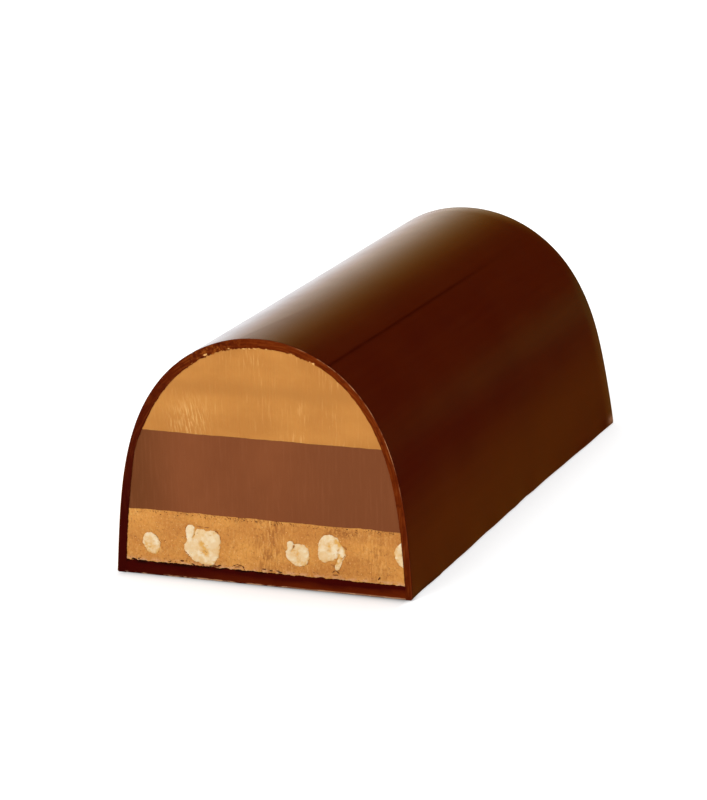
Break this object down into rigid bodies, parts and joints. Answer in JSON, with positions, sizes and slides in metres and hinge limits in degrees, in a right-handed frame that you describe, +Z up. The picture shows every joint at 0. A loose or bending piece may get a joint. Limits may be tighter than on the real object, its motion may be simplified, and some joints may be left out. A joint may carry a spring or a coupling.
{
  "type": "filled chocolate torrone bar",
  "caption": "Chocolate-coated torrone bar with an arched top, cut across to show level layers of nut praline, ganache and smooth praline with hazelnuts.",
  "frame": {"origin": "middle of the underside: the centre of the box's bottom face", "axes": "+Z up, Y along the bar with the cut face at -Y and the moulded end at +Y, X across the bar"},
  "size_m": [0.083, 0.1764, 0.064],
  "materials": {
    "dark_chocolate": "moulded dark chocolate, glossy outside, satin where it is cut",
    "smooth_praline": "fine hazelnut paste with knife streaks, matte",
    "milk_ganache": "smooth milk chocolate ganache, matte",
    "nut_praline": "grainy hazelnut paste, matte",
    "hazelnut_flesh": "cut roasted hazelnut, cream with tan creases, satin"
  },
  "bodies": {
    "root": {"chocolate_shell": "dark_chocolate", "chocolate_base": "dark_chocolate", "praline_top": "smooth_praline", "ganache": "milk_ganache", "praline_nut": "nut_praline", "hazelnut_1": "hazelnut_flesh", "hazelnut_2": "hazelnut_flesh", "hazelnut_3": "hazelnut_flesh", "hazelnut_4": "hazelnut_flesh", "hazelnut_5": "hazelnut_flesh"}
  },
  "joints": []
}
